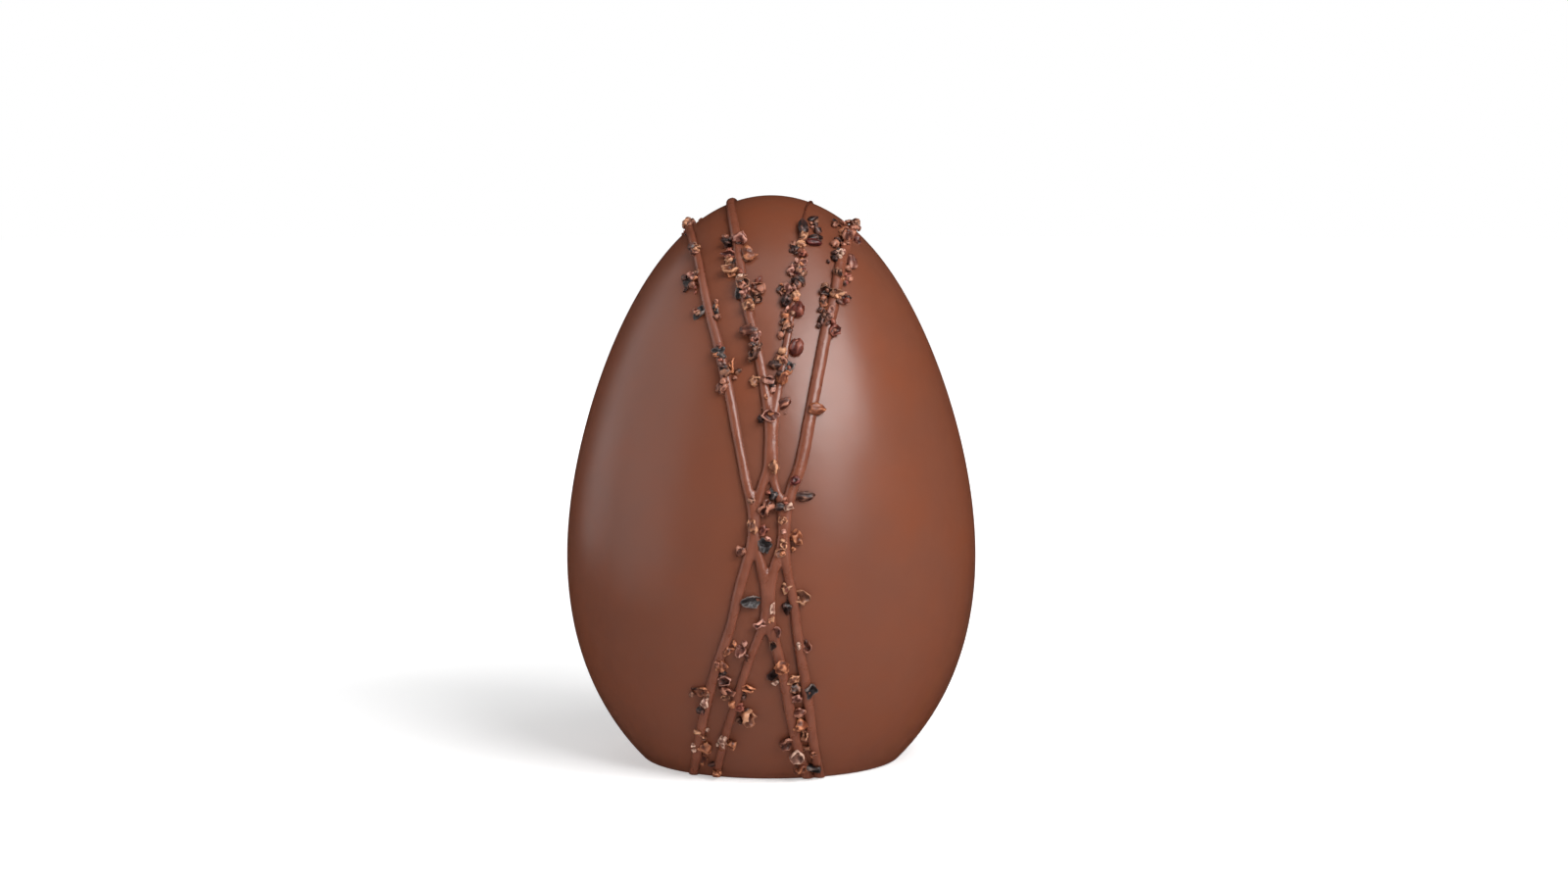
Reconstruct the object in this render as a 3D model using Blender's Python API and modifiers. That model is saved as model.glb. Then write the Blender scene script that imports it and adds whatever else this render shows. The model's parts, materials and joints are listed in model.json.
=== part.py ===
"""A chocolate Easter egg that stands upright on its flat foot, with chocolate lines piped over it.

The egg is one moulded body. Four piped lines run up its front like bare branches: they lean together
at the waist, touch, part again, and carry on over the crown and down the back, where they repeat the
front after half a turn. They stand proud of the egg as half-round ridges.

Metres, +Z up. The origin is the middle of the foot, and the front faces -Y.
"""

import math

import bmesh
import bpy
from mathutils import Matrix, Vector

MM = 0.001

# The egg: an ellipse that is slimmer towards the crown, cut off flat at the foot.
EGG_HEIGHT = 180 * MM
EGG_HALF_LENGTH = 99.0 * MM         # half the length of the whole egg, before the foot is cut
EGG_HALF_WIDTH = 64.5 * MM          # radius half way up that whole egg
CROWN_TAPER = 0.18                  # how much slimmer the crown half is than the blunt half
CROWN_FULLNESS = 0.086              # how much of that the crown itself gives back, so it isn't a point
EGG_MIDDLE = EGG_HEIGHT - EGG_HALF_LENGTH
FOOT_ROUNDING = 1.2 * MM            # the foot's edge is rounded off by this much
EGG_COLUMNS = 60
EGG_RING_STEP = math.radians(5.2)
EDGE_STEPS = 3                      # facets round the foot's edge
SLOPE_STEP = math.radians(0.5)      # how far up the side its slope at the foot is taken

# A point is settled on the egg by halving the reach of its line from the egg's middle.
SHORTEST_REACH = 0.5
LONGEST_REACH = 1.5
HALVINGS = 30

# The piped lines
SEAT_GAP = 0.3 * MM                 # between the egg and the underside of the lines
LINE_STATION = 6.0 * MM             # distance between the sections of a line

# Each line's front half, from under the foot up to the crown, in millimetres:
# how far to the right of the middle, how high, and how wide the line is there.
OUTER_LEFT = [
    (-24.5, -4, 3.0), (-22.0, 14, 3.0), (-18.0, 33, 3.0), (-12.5, 50.5, 3.0), (-9.5, 63, 3.2),
    (-7.0, 72, 3.2), (-5.6, 79, 3.2), (-5.6, 87, 3.2), (-7.5, 95, 3.0), (-10.0, 107, 2.8),
    (-12.5, 120, 3.0), (-16.3, 136, 3.2), (-19.5, 147, 2.8), (-22.4, 160, 2.6), (-24.4, 166, 2.6),
    (-26.0, 169.6, 2.8),
]
INNER_LEFT = [
    (-17.8, -3, 2.6), (-14.2, 15, 2.6), (-11.5, 24.5, 2.6), (-6.8, 40.5, 2.6), (-3.2, 50, 2.8),
    (-1.3, 56, 4.4), (-1.3, 63, 4.3), (-3.0, 69.5, 3.2), (-4.4, 76, 2.8), (-4.4, 85, 2.8),
    (-3.2, 92.5, 2.8), (-1.2, 98.5, 3.0), (-0.3, 104, 3.8), (-0.3, 112, 3.8), (-1.8, 121.5, 3.0),
    (-4.0, 133, 3.0), (-7.9, 149, 3.0), (-10.4, 165, 3.0), (-12.0, 173, 3.0), (-12.7, 177.5, 2.8),
]
INNER_RIGHT = [
    (12.4, -3, 3.2), (8.2, 11, 3.2), (4.1, 33, 3.2), (1.2, 46, 3.2), (-0.7, 54, 4.4),
    (-0.7, 62, 4.3), (0.9, 69.5, 3.1), (2.8, 76, 2.9), (3.4, 83, 3.0), (2.7, 89, 2.6),
    (0.9, 95, 2.6), (0.3, 101, 3.6), (0.3, 112, 3.8), (1.8, 120.5, 2.6), (4.2, 133, 2.4),
    (5.9, 143.5, 2.2), (8.0, 157, 2.0), (9.7, 170, 1.9), (10.6, 175.2, 1.9),
]
OUTER_RIGHT = [
    (15.6, -3, 3.0), (13.1, 11.5, 3.0), (10.6, 31, 3.0), (8.1, 47, 3.0), (6.8, 58, 2.8),
    (5.0, 67, 2.8), (4.2, 74, 3.0), (4.3, 84, 3.4), (6.3, 93, 3.6), (9.0, 101, 3.8),
    (13.0, 121, 3.8), (15.9, 135.5, 3.8), (18.8, 147, 3.8), (21.1, 158, 3.6), (23.8, 166, 3.2),
    (26.0, 169.6, 2.8),
]


def clear_scene():
    for thing in list(bpy.data.objects):
        bpy.data.objects.remove(thing, do_unlink=True)


def new_collection(name):
    collection = bpy.data.collections.new(name)
    bpy.context.scene.collection.children.link(collection)
    return collection


def new_material(name, colour, roughness):
    material = bpy.data.materials.new(name)
    material.use_nodes = True
    shader = material.node_tree.nodes["Principled BSDF"]
    shader.inputs["Base Color"].default_value = (*colour, 1)
    shader.inputs["Roughness"].default_value = roughness
    shader.inputs["Metallic"].default_value = 0
    return material


def make_guide(thing):
    thing.hide_render = True
    thing.display_type = "WIRE"


# The egg's surface


def ring(slant, growth=0.0):
    """Radius and height of the egg's ring at an angle above its middle, grown outward if asked."""
    up = math.sin(slant)
    fullness = 1 - CROWN_TAPER * up + CROWN_FULLNESS * up**3
    radius = (EGG_HALF_WIDTH + growth) * math.cos(slant) * fullness
    return max(radius, 0.0), EGG_MIDDLE + (EGG_HALF_LENGTH + growth) * up


def radius_at(height):
    """Radius of the egg at a height, 0 beyond its ends."""
    up = (height - EGG_MIDDLE) / EGG_HALF_LENGTH
    if abs(up) >= 1:
        return 0.0
    return ring(math.asin(up))[0]


def on_front(side, height):
    """The point on the egg's front that is this far to the right of the middle and this high."""
    radius = radius_at(height)
    across = max(-radius, min(radius, side))
    return Vector((across, -math.sqrt(radius**2 - across**2), height))


def settle(point):
    """Move a point along its line to the egg's middle until it lies on the egg's surface."""
    middle = Vector((0, 0, EGG_MIDDLE))
    arm = point - middle
    inside, outside = SHORTEST_REACH, LONGEST_REACH
    for _ in range(HALVINGS):
        reach = (inside + outside) / 2
        trial = middle + arm * reach
        if math.hypot(trial.x, trial.y) < radius_at(trial.z):
            inside = reach
        else:
            outside = reach
    return middle + arm * inside


# The egg body


def turned(name, profile, collection):
    """A body of revolution: the profile at +X, from top to bottom, with a Screw modifier."""
    mesh = bpy.data.meshes.new(name)
    mesh.from_pydata([(x, 0, z) for x, z in profile], [(i, i + 1) for i in range(len(profile) - 1)], [])
    thing = bpy.data.objects.new(name, mesh)
    collection.objects.link(thing)
    screw = thing.modifiers.new("turn", "SCREW")
    screw.axis = "Z"
    screw.angle = math.tau
    screw.steps = EGG_COLUMNS
    screw.render_steps = EGG_COLUMNS
    screw.use_merge_vertices = True
    screw.merge_threshold = 0.00005
    screw.use_smooth_shade = True
    return thing


def egg_profile():
    """From the crown down the side, round the foot's edge, to the middle of the foot."""
    foot_slant = math.asin(-EGG_MIDDLE / EGG_HALF_LENGTH)
    foot_radius = ring(foot_slant)[0]
    count = round((math.pi / 2 - foot_slant) / EGG_RING_STEP)
    slants = [math.pi / 2 + (foot_slant - math.pi / 2) * i / count for i in range(count)]
    side = [ring(slant) for slant in slants]
    # The rounded edge leaves the side's slope and meets the floor flat.
    near_radius, near_height = ring(foot_slant + SLOPE_STEP)
    leave = Vector((near_radius - foot_radius, near_height)).normalized() * FOOT_ROUNDING
    edge = []
    for step in range(EDGE_STEPS + 1):
        t = step / EDGE_STEPS
        edge.append((foot_radius + leave.x * (1 - t) ** 2 - FOOT_ROUNDING * t**2, leave.y * (1 - t) ** 2))
    return side + edge + [(0, 0)]


def make_egg(collection, material):
    egg = turned("egg", egg_profile(), collection)
    egg.data.materials.append(material)
    return egg


# The piped lines


def smooth_route(route):
    """Sections of a line as (point, width), close together on a smooth curve through the route."""
    knots = [(Vector(point), width) for point, width in route]
    sections = []
    for i in range(len(knots) - 1):
        before, width_before = knots[max(i - 1, 0)]
        start, start_width = knots[i]
        end, end_width = knots[i + 1]
        after, width_after = knots[min(i + 2, len(knots) - 1)]
        steps = max(1, round((end - start).length / LINE_STATION))
        for step in range(steps):
            t = step / steps
            pull_in = (end - before) / 2
            pull_out = (after - start) / 2
            point = (
                start * (2 * t**3 - 3 * t**2 + 1)
                + pull_in * (t**3 - 2 * t**2 + t)
                + end * (3 * t**2 - 2 * t**3)
                + pull_out * (t**3 - t**2)
            )
            sections.append((settle(point), start_width + (end_width - start_width) * t))
    last, last_width = knots[-1]
    sections.append((settle(last), last_width))
    return sections


def over_the_crown(front_half, back_half):
    """A whole line: one half up the front, then another, turned half round, down the back."""
    up = [(on_front(side * MM, height * MM), width * MM) for side, height, width in front_half]
    down = [(on_front(side * MM, height * MM), width * MM) for side, height, width in back_half]
    half_turn = Matrix.Rotation(math.pi, 3, "Z")
    down = [(half_turn @ point, width) for point, width in reversed(down)]
    if (up[-1][0] - down[0][0]).length < LINE_STATION / 2:
        down = down[1:]
    return up + down


def tube(name, route, collection):
    """A round line along a route, as a closed mesh, half of it sunk in the egg."""
    sections = smooth_route(route)
    curve = bpy.data.curves.new(name, "CURVE")
    curve.dimensions = "3D"
    curve.bevel_depth = 1 * MM
    curve.bevel_resolution = 3
    curve.use_fill_caps = True
    spline = curve.splines.new("POLY")
    spline.points.add(len(sections) - 1)
    for spot, (point, width) in zip(spline.points, sections):
        spot.co = (*point, 1)
        spot.radius = width / 2 / curve.bevel_depth
    drawn = bpy.data.objects.new(name + "_curve", curve)
    collection.objects.link(drawn)
    graph = bpy.context.evaluated_depsgraph_get()
    mesh = bpy.data.meshes.new_from_object(drawn.evaluated_get(graph))
    shell = bmesh.new()
    shell.from_mesh(mesh)
    bmesh.ops.remove_doubles(shell, verts=shell.verts, dist=0.00001)
    shell.to_mesh(mesh)
    shell.free()
    mesh.name = name
    solid = bpy.data.objects.new(name, mesh)
    solid.matrix_world = drawn.matrix_world
    collection.objects.link(solid)
    bpy.data.objects.remove(drawn, do_unlink=True)
    return solid


def turned_half_round(thing, name, collection):
    """The same line again, half a turn about the egg's axis."""
    copy = bpy.data.objects.new(name, thing.data.copy())
    copy.data.transform(Matrix.Rotation(math.pi, 4, "Z"))
    collection.objects.link(copy)
    return copy


def cut_or_join(thing, other, operation):
    change = thing.modifiers.new(operation.lower() + "_" + other.name, "BOOLEAN")
    change.operation = operation
    change.solver = "EXACT"
    change.object = other


def make_floor_block(collection):
    """Everything lower than the foot's level, to cut the lines off above the floor."""
    size = 200 * MM
    mesh = bpy.data.meshes.new("floor_block")
    shell = bmesh.new()
    bmesh.ops.create_cube(shell, size=size)
    bmesh.ops.translate(shell, verts=shell.verts, vec=(0, 0, SEAT_GAP - size / 2))
    shell.to_mesh(mesh)
    shell.free()
    block = bpy.data.objects.new("floor_block", mesh)
    collection.objects.link(block)
    return block


def make_branches(collection, cutters, material):
    """The piped lines, joined where they touch, cut back to the part that stands on the egg."""
    outer = tube("branches", over_the_crown(OUTER_LEFT, OUTER_RIGHT), collection)
    inner = tube("inner_line", over_the_crown(INNER_LEFT, INNER_RIGHT), cutters)
    outer_again = turned_half_round(outer, "outer_line_back", cutters)
    inner_again = turned_half_round(inner, "inner_line_back", cutters)
    count = round(math.pi / EGG_RING_STEP)
    slants = [math.pi / 2 - EGG_RING_STEP * i for i in range(count + 1)]
    egg_with_gap = turned("egg_with_gap", [ring(slant, SEAT_GAP) for slant in slants], cutters)
    floor_block = make_floor_block(cutters)
    for other in (inner, outer_again, inner_again):
        cut_or_join(outer, other, "UNION")
    for other in (egg_with_gap, floor_block):
        cut_or_join(outer, other, "DIFFERENCE")
    for guide in (inner, outer_again, inner_again, egg_with_gap, floor_block):
        make_guide(guide)
    outer.data.materials.append(material)
    outer.data.shade_smooth()
    return outer


def main():
    clear_scene()
    parts = new_collection("chocolate_egg")
    cutters = new_collection("cutters")
    milk_chocolate = new_material("milk_chocolate", (0.19, 0.068, 0.041), 0.38)
    piped_chocolate = new_material("piped_chocolate", (0.17, 0.060, 0.038), 0.42)
    make_egg(parts, milk_chocolate)
    make_branches(parts, cutters, piped_chocolate)


main()
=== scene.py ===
# %% [markdown]
# # A chocolate egg with piped branches and cocoa nibs
# The real egg is a moulded shell of milk chocolate that stands on a flat foot. Four lines of softer
# chocolate are piped over it like bare branches, and cocoa nibs are pressed into them while they are wet.
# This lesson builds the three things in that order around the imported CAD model: the egg, the lines, the nibs.
# Everything is in metres, the foot's middle is the origin, and the front faces -Y.

import json
import math

import bmesh
import bpy
import numpy as np
from mathutils import Matrix, Vector, noise
from mathutils.bvhtree import BVHTree

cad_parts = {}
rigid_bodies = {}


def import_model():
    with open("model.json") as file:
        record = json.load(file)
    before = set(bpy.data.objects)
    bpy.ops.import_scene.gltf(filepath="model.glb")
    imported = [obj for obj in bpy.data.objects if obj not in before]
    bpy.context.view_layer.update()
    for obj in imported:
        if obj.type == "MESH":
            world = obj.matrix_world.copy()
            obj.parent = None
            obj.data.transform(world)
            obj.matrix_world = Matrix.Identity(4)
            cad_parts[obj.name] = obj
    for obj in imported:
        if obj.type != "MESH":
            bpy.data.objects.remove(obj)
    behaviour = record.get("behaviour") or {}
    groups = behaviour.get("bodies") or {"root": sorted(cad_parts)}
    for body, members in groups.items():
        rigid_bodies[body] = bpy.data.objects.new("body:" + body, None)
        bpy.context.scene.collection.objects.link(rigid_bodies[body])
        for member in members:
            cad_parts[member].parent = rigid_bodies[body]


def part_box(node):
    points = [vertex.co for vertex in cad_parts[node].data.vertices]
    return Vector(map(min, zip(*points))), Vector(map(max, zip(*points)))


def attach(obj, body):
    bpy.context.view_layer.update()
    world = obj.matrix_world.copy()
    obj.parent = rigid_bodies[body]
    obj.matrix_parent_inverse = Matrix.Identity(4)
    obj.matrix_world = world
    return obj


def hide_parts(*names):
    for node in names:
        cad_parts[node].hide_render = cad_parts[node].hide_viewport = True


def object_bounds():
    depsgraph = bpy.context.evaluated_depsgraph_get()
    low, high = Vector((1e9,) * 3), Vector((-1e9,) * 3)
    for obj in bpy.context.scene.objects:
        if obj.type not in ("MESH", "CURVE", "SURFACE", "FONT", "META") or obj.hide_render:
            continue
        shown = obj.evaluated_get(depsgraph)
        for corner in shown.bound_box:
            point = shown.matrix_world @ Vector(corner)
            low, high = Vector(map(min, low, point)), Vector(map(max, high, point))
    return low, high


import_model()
cad_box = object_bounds()
MM = 0.001
NOISE_SEED = 3
noise.seed_set(NOISE_SEED)      # Blender seeds its vector noise from the clock, so the nibs need a fixed one
print("CAD box in mm:", [round(v / MM, 1) for v in (*cad_box[0], *cad_box[1])])

# %% [markdown]
# ## The egg's outline
# An egg isn't an ellipse: its crown half is slimmer than its blunt half. One formula gives the radius of
# each ring from the angle above the egg's middle. It repeats the CAD's own numbers, and the size comes
# from the CAD box, so that the lines and the nibs can be laid on the same surface later.

# %% The outline as a formula
egg_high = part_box("egg")[1]
EGG_HEIGHT = egg_high.z
EGG_HALF_LENGTH = 99.0 * MM
EGG_HALF_WIDTH = 64.5 * MM
CROWN_TAPER = 0.18
CROWN_FULLNESS = 0.086
EGG_MIDDLE = EGG_HEIGHT - EGG_HALF_LENGTH
FOOT_SLANT = math.asin(-EGG_MIDDLE / EGG_HALF_LENGTH)


def ring_radius(slant):
    """Radius of the egg's ring at an angle above its middle."""
    up = np.sin(slant)
    return EGG_HALF_WIDTH * np.cos(slant) * (1 - CROWN_TAPER * up + CROWN_FULLNESS * up**3)


def ring_height(slant):
    return EGG_MIDDLE + EGG_HALF_LENGTH * np.sin(slant)


def radius_at(height):
    """Radius of the egg at a height."""
    up = np.clip((np.asarray(height) - EGG_MIDDLE) / EGG_HALF_LENGTH, -1, 1)
    return ring_radius(np.arcsin(up))


slants = np.linspace(FOOT_SLANT, math.pi / 2, 2001)
widest = float(ring_radius(slants).max())
print("widest ring in mm:", round(widest / MM, 2), "CAD:", round(egg_high.x / MM, 2))

# %% [markdown]
# ## Points and directions on the egg
# The lines and nibs are placed by two numbers that a decorator could measure with a ruler: how far to the
# right of the egg's middle, and how high. These helpers turn them into a point on the front and the
# direction that points straight out of the chocolate there.

# %% Helpers on the surface
def on_front(side, height):
    """The point on the egg's front that is this far to the right of the middle and this high."""
    radius = float(radius_at(height))
    across = max(-0.999 * radius, min(0.999 * radius, side))
    return Vector((across, -math.sqrt(radius**2 - across**2), height))


def outward(point):
    """The direction straight out of the egg at a point on it or near it."""
    step = 0.2 * MM
    low = max(point.z - step, 0)
    high = min(point.z + step, EGG_HEIGHT - 0.01 * MM)
    slope = (float(radius_at(high)) - float(radius_at(low))) / (high - low)
    around = Vector((point.x, point.y, 0))
    if around.length < 0.5 * MM:
        return Vector((0, 0, 1))
    around.normalize()
    return Vector((around.x, around.y, -slope)).normalized()


LEAST_REACH = 0.3       # the search for the surface runs between these shares of a point's distance
MOST_REACH = 1.9
HALVINGS = 24


def depth_in_egg(points):
    """How far each point lies outside the egg (inside is negative), and the point on the egg beside it."""
    points = np.asarray(points)
    middle = np.array([0, 0, EGG_MIDDLE])
    arm = points - middle
    low = np.full(len(points), LEAST_REACH)
    high = np.full(len(points), MOST_REACH)
    for _ in range(HALVINGS):
        half = (low + high) / 2
        trial = middle + arm * half[:, None]
        beyond = np.abs(trial[:, 2] - EGG_MIDDLE) >= EGG_HALF_LENGTH
        inside = (np.hypot(trial[:, 0], trial[:, 1]) < radius_at(trial[:, 2])) & ~beyond
        low = np.where(inside, half, low)
        high = np.where(inside, high, half)
    return np.linalg.norm(arm, axis=1) * (1 - low), middle + arm * low[:, None]


print("front point half way up:", [round(v / MM, 1) for v in on_front(0, EGG_HEIGHT / 2)])

# %% [markdown]
# ## The egg body
# A moulded egg could be a subdivided ball, but its rings would bunch up at the poles and its foot would go
# soft. Turning the outline like a potter gives even rings and a foot with a real, slightly rounded edge.
# Chocolate shrinks as it sets, so the skin isn't a perfect curve: a slow, shallow waviness is pressed
# inward by a tenth of a millimetre, which is what makes the long highlight waver.

# %% Turn the egg
def add_object(name, data):
    """A new object in the scene."""
    thing = bpy.data.objects.new(name, data)
    bpy.context.scene.collection.objects.link(thing)
    return thing


EGG_COLUMNS = 192
EGG_RINGS = 150
FOOT_ROUNDING = 1.2 * MM
WAVINESS = 0.13 * MM
WAVE_SIZE = 45 * MM


def egg_rows():
    """(radius, height) from just over the middle of the foot, round its edge, up to just under the crown."""
    foot_radius = float(ring_radius(FOOT_SLANT))
    first = FOOT_SLANT + FOOT_ROUNDING / EGG_HALF_LENGTH * 1.15
    lean_radius = float(ring_radius(first)) - foot_radius
    lean_height = float(ring_height(first))
    rows = [(foot_radius * share, 0.0) for share in (0.25, 0.5, 0.75, 0.93)]
    for step in range(7):
        t = step / 6
        inner = -FOOT_ROUNDING * (1 - t) ** 2
        rows.append((foot_radius + inner + lean_radius * t**2, lean_height * t**2))
    for slant in np.linspace(first, math.pi / 2, EGG_RINGS + 1)[1:-1]:
        rows.append((float(ring_radius(slant)), float(ring_height(slant))))
    return rows


def turn_profile(name, rows, columns, bottom, top):
    """A closed body of revolution with a point at each pole."""
    mesh = bpy.data.meshes.new(name)
    points = [(0, 0, bottom)]
    for radius, height in rows:
        for column in range(columns):
            angle = math.tau * column / columns
            points.append((radius * math.cos(angle), radius * math.sin(angle), height))
    points.append((0, 0, top))
    faces = []
    for row in range(len(rows) - 1):
        for column in range(columns):
            a = 1 + row * columns + column
            b = 1 + row * columns + (column + 1) % columns
            faces.append((a, b, b + columns, a + columns))
    last = 1 + (len(rows) - 1) * columns
    for column in range(columns):
        beside = (column + 1) % columns
        faces.append((0, 1 + beside, 1 + column))
        faces.append((last + column, last + beside, len(points) - 1))
    mesh.from_pydata(points, [], faces)
    mesh.shade_smooth()
    return add_object(name, mesh)


egg = turn_profile("egg_body", egg_rows(), EGG_COLUMNS, 0.0, EGG_HEIGHT)
for vertex in egg.data.vertices:
    if vertex.co.z > FOOT_ROUNDING:
        wave = noise.noise(vertex.co / WAVE_SIZE) * 0.5 + 0.5
        fade = min(1.0, (vertex.co.z - FOOT_ROUNDING) / (10 * MM))
        vertex.co -= outward(vertex.co) * WAVINESS * wave * fade
egg.data.update()
print("egg body:", len(egg.data.polygons), "faces")

# %% [markdown]
# ## The routes of the piped lines
# Four lines run up the front, lean together at the waist and part again, like thin branches. Each is a list
# of places: how far to the right, how high, and how wide the line is, all in millimetres. Over the crown
# each line meets one that has been turned half round, so the back repeats the front.

# %% Routes from the foot to the crown
OUTER_LEFT = [
    (-24.5, -4, 3.0), (-22.0, 14, 3.0), (-18.0, 33, 3.0), (-12.5, 50.5, 3.0), (-9.5, 63, 3.2),
    (-7.0, 72, 3.2), (-5.6, 79, 3.2), (-5.6, 87, 3.2), (-7.5, 95, 3.0), (-10.0, 107, 2.8),
    (-12.5, 120, 3.0), (-16.3, 136, 3.2), (-19.5, 147, 2.8), (-22.4, 160, 2.6), (-24.4, 166, 2.6),
    (-26.0, 169.6, 2.8),
]
INNER_LEFT = [
    (-17.8, -3, 2.6), (-14.2, 15, 2.6), (-11.5, 24.5, 2.6), (-6.8, 40.5, 2.6), (-3.2, 50, 2.8),
    (-1.3, 56, 4.1), (-1.3, 63, 4.0), (-3.0, 69.5, 3.2), (-4.4, 76, 2.8), (-4.4, 85, 2.8),
    (-3.2, 92.5, 2.8), (-1.2, 98.5, 3.0), (-0.3, 104, 3.8), (-0.3, 112, 3.8), (-1.8, 121.5, 3.0),
    (-4.0, 133, 3.0), (-7.9, 149, 3.0), (-10.4, 165, 3.0), (-12.0, 173, 3.0), (-12.7, 177.5, 2.8),
]
INNER_RIGHT = [
    (12.4, -3, 3.2), (8.2, 11, 3.2), (4.1, 33, 3.2), (1.2, 46, 3.2), (-0.7, 54, 4.1),
    (-0.7, 62, 4.0), (0.9, 69.5, 3.1), (2.8, 76, 2.9), (3.4, 83, 3.0), (2.7, 89, 2.6),
    (0.9, 95, 2.6), (0.3, 101, 3.6), (0.3, 112, 3.8), (1.8, 120.5, 2.6), (4.2, 133, 2.4),
    (5.9, 143.5, 2.2), (8.0, 157, 2.0), (9.7, 170, 1.9), (10.6, 175.2, 1.9),
]
OUTER_RIGHT = [
    (15.6, -3, 3.0), (13.1, 11.5, 3.0), (10.6, 31, 3.0), (8.1, 47, 3.0), (6.8, 58, 2.8),
    (5.0, 67, 2.8), (4.2, 74, 3.0), (4.3, 84, 3.4), (6.3, 93, 3.6), (9.0, 101, 3.8),
    (13.0, 121, 3.8), (15.9, 135.5, 3.8), (18.8, 147, 3.8), (21.1, 158, 3.6), (23.8, 166, 3.2),
    (26.0, 169.6, 2.8),
]
HALF_TURN = Matrix.Rotation(math.pi, 3, "Z")


def over_the_crown(front_half, back_half):
    """A whole line: one half up the front, then another, turned half round, down the back."""
    up = [(on_front(side * MM, height * MM), width * MM) for side, height, width in front_half]
    down = [(on_front(side * MM, height * MM), width * MM) for side, height, width in back_half]
    down = [(HALF_TURN @ point, width) for point, width in reversed(down)]
    if (up[-1][0] - down[0][0]).length < 3 * MM:
        down = down[1:]
    return up + down


lines = [over_the_crown(OUTER_LEFT, OUTER_RIGHT), over_the_crown(INNER_LEFT, INNER_RIGHT)]
lines += [[(HALF_TURN @ point, width) for point, width in line] for line in lines]
print(len(lines), "lines over the crown")

# %% [markdown]
# ## Sections along a line
# A piping bag gives a rope that swells and thins with the hand's pressure, and it never lies quite straight.
# So each line is sampled every 0.8 mm on a smooth curve, and a seeded slow noise changes its width by a few
# per cent and lets it wander by a tenth of a millimetre.

# %% Smooth, slightly uneven sections
SECTION_STEP = 0.8 * MM
WIDTH_CHANGE = 0.06
WANDER = 0.15 * MM
SWELL_LENGTH = 9 * MM


def smooth_sections(line, seed):
    """Points, widths and travelled lengths along a smooth curve through a line's places."""
    points = np.array([tuple(point) for point, width in line])
    widths = np.array([width for point, width in line])
    out_points = []
    out_widths = []
    for i in range(len(line) - 1):
        before = points[max(i - 1, 0)]
        after = points[min(i + 2, len(line) - 1)]
        start, end = points[i], points[i + 1]
        steps = max(2, round(float(np.linalg.norm(end - start)) / SECTION_STEP))
        for t in np.arange(steps) / steps:
            bend = (end - before) / 2 * (t**3 - 2 * t**2 + t) + (after - start) / 2 * (t**3 - t**2)
            out_points.append(start * (2 * t**3 - 3 * t**2 + 1) + end * (3 * t**2 - 2 * t**3) + bend)
            out_widths.append(widths[i] + (widths[i + 1] - widths[i]) * t)
    out_points.append(points[-1])
    out_widths.append(widths[-1])
    settled = depth_in_egg(np.array(out_points))[1]
    travelled = np.concatenate([[0], np.cumsum(np.linalg.norm(np.diff(settled, axis=0), axis=1))])
    swell = [noise.noise(Vector((s / SWELL_LENGTH, seed, 0.3))) for s in travelled]
    return settled, np.array(out_widths) * (1 + WIDTH_CHANGE * np.array(swell)), travelled


LIFTED_AT = 169 * MM     # above this height the hand lifts the bag on the inner right line
LIFTED_OVER = 6 * MM     # the height over which the line thins
LIFTED_SIDE = 4 * MM
LIFTED_BEHIND = 4 * MM   # this far behind the crown the line starts to widen again
WIDENING = 14 * MM
LIFTED_THINNING = 0.60


def thin_where_lifted(points, widths):
    """The inner right line thins as it comes up to the crown and widens again behind it."""
    high = np.clip((points[:, 2] - LIFTED_AT) / LIFTED_OVER, 0, 1)
    right = np.clip((points[:, 0] - LIFTED_SIDE) / (2 * MM), 0, 1)
    front = 1 - np.clip((points[:, 1] - LIFTED_BEHIND) / WIDENING, 0, 1)
    return widths * (1 - LIFTED_THINNING * high * right * front)


sections = [smooth_sections(line, 7.3 * number) for number, line in enumerate(lines)]
sections = [(points, thin_where_lifted(points, widths), travelled) for points, widths, travelled in sections]
print("line lengths in mm:", [round(float(s[2][-1]) / MM) for s in sections])

# %% [markdown]
# ## Ropes of chocolate
# A curve with a round bevel could draw each line, but where four ropes overlap it leaves hard creases.
# Wet chocolate flows together there. So each rope is built as a slightly flattened tube that is partly
# sunk into the egg, and then all the tubes are melted into one skin.

# %% Build one rope
ROPE_SIDES = 24
RAISED = 0.22           # how far a rope's middle lies above the egg, as a share of its half width
ROUNDNESS = 0.80        # the upper half's height, as a share of its half width
PRESSED = 0.75          # the same for the underside, which is pressed into the egg
SETTLING = 0.20 * MM    # melting draws a rope in by this much, so it starts wider
TRUNK_HEIGHT = 70 * MM  # below this height, ropes that lie side by side sink into one low trunk
TRUNK_WIDTH = 3.4 * MM
TRUNK_LOWNESS = 0.72


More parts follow.
